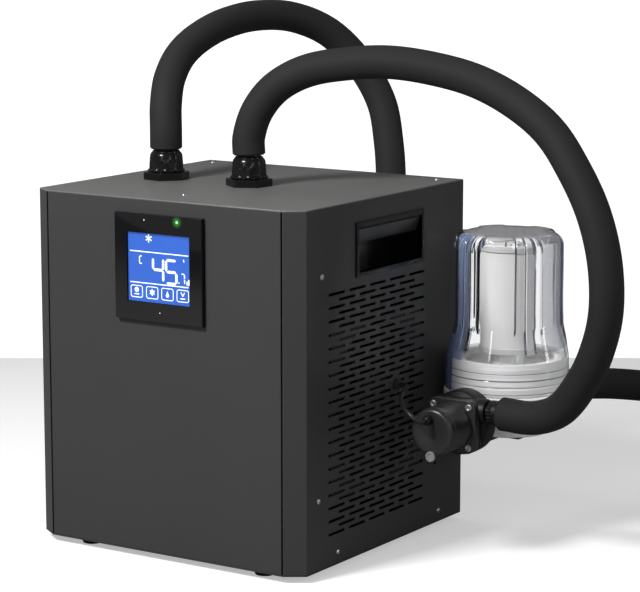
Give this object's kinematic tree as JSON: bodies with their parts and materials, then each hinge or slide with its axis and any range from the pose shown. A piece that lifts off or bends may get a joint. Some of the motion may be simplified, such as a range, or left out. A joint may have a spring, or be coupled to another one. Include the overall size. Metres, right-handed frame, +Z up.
{
  "type": "ice bath chiller",
  "caption": "Louvred sheet-metal water chiller cabinet with a display, two insulated top hoses, a side pump and a clear upright water filter.",
  "frame": {"origin": "middle of the underside of the feet, midway across and along the object without its hoses", "axes": "+X to the cabinet's right, towards the pump and filter, +Y to its back, +Z up"},
  "size_m": [0.8008, 0.5949, 0.6138],
  "materials": {
    "powder_coat": "fine satin powder coat",
    "powder_coat_top": "fine satin powder coat",
    "bezel_gloss": "high gloss",
    "screen_blue": "backlit blue display",
    "lamp_green": "glowing green lamp",
    "black_plastic": "fine moulded texture",
    "port_plastic": "semi gloss moulded nylon",
    "grey_plastic": "moulded grey",
    "white_plastic": "smooth moulded white",
    "clear_plastic": "clear moulded bowl",
    "filter_paper": "white blown fibre",
    "foam": "closed cell foam insulation",
    "rubber": "matt rubber",
    "cable": "cable sheath",
    "steel": "zinc plated",
    "painted_steel": "black paint",
    "motor_paint": "black satin",
    "aluminium": "plain",
    "copper": "bright copper",
    "board_green": "solder mask"
  },
  "bodies": {
    "root": {"base_pan": "powder_coat", "feet": "rubber", "side_panel_right": "powder_coat", "side_panel_left": "powder_coat", "front_panel": "powder_coat", "rear_panel": "powder_coat", "top_cover": "powder_coat_top", "panel_screws": "steel", "handle_right": "black_plastic", "handle_left": "black_plastic", "display_bezel": "bezel_gloss", "display_screen": "screen_blue", "status_led": "lamp_green", "display_box": "black_plastic", "control_board": "board_green", "port_left_body": "port_plastic", "port_right_body": "port_plastic", "port_locknuts": "port_plastic", "hose_return": "foam", "hose_supply": "foam", "hose_suction": "foam", "return_coupling": "black_plastic", "suction_coupling": "black_plastic", "pump_motor": "motor_paint", "pump_gland": "black_plastic", "pump_plug": "grey_plastic", "pump_cable": "cable", "pump_volute": "motor_paint", "pump_screws": "steel", "pump_nipple": "black_plastic", "filter_head": "white_plastic", "bowl_seal": "rubber", "filter_bracket": "painted_steel", "bracket_screws": "steel", "compressor": "painted_steel", "compressor_mounts": "rubber", "condenser": "aluminium", "fan_shroud": "black_plastic", "fan_motor": "motor_paint", "evaporator_tank": "rubber", "tank_bracket": "steel", "refrigerant_lines": "copper", "filter_drier": "copper", "water_pipes": "rubber", "power_inlet": "black_plastic", "power_switch": "black_plastic", "cable_grommet": "rubber"},
    "left_cap": {"port_left_cap": "port_plastic"},
    "right_cap": {"port_right_cap": "port_plastic"},
    "outlet_nut": {"outlet_union": "black_plastic"},
    "suction_nut": {"suction_union": "black_plastic"},
    "return_end_nut": {"return_coupling_nut": "black_plastic"},
    "suction_end_nut": {"suction_coupling_nut": "black_plastic"},
    "fan": {"fan_blades": "black_plastic"},
    "rotor": {"impeller": "grey_plastic", "pump_shaft": "steel"},
    "cartridge": {"filter_cartridge": "filter_paper", "cartridge_caps": "grey_plastic"},
    "bowl": {"filter_bowl": "clear_plastic"},
    "rocker": {"switch_rocker": "black_plastic"}
  },
  "joints": [
    {"name": "left_cap_turn", "type": "hinge", "parent": "root", "child": "left_cap", "pos_m": [-0.1857, -0.043, 0.43], "axis": [0, 0, 1], "continuous": true},
    {"name": "right_cap_turn", "type": "hinge", "parent": "root", "child": "right_cap", "pos_m": [-0.0667, -0.043, 0.43], "axis": [0, 0, 1], "continuous": true},
    {"name": "outlet_nut_turn", "type": "hinge", "parent": "root", "child": "outlet_nut", "pos_m": [0.2313, 0.011, 0.17], "axis": [1, 0, 0], "continuous": true},
    {"name": "suction_nut_turn", "type": "hinge", "parent": "root", "child": "suction_nut", "pos_m": [0.1863, 0.202, 0.154], "axis": [0, 1, 0], "continuous": true},
    {"name": "return_end_turn", "type": "hinge", "parent": "root", "child": "return_end_nut", "pos_m": [-0.2287, 0.249, 0.019], "axis": [1, 0, 0], "continuous": true},
    {"name": "suction_end_turn", "type": "hinge", "parent": "root", "child": "suction_end_nut", "pos_m": [0.5213, -0.013, 0.019], "axis": [0, 1, 0], "continuous": true},
    {"name": "fan_spin", "type": "hinge", "parent": "root", "child": "fan", "pos_m": [0.0913, -0.043, 0.178], "axis": [1, 0, 0], "continuous": true},
    {"name": "pump_spin", "type": "hinge", "parent": "root", "child": "rotor", "pos_m": [0.1863, 0.012, 0.154], "axis": [0, 1, 0], "continuous": true},
    {"name": "cartridge_lift", "type": "slide", "parent": "root", "child": "cartridge", "axis": [0, 0, 1], "range_m": [0, 0.06]},
    {"name": "bowl_turn", "type": "hinge", "parent": "cartridge", "child": "bowl", "pos_m": [0.1863, 0.12, 0.26], "axis": [0, 0, 1], "continuous": true},
    {"name": "power_rocker", "type": "hinge", "parent": "root", "child": "rocker", "pos_m": [0.0357, 0.14396, 0.134], "axis": [1, 0, 0], "range_deg": [-8, 8]}
  ]
}
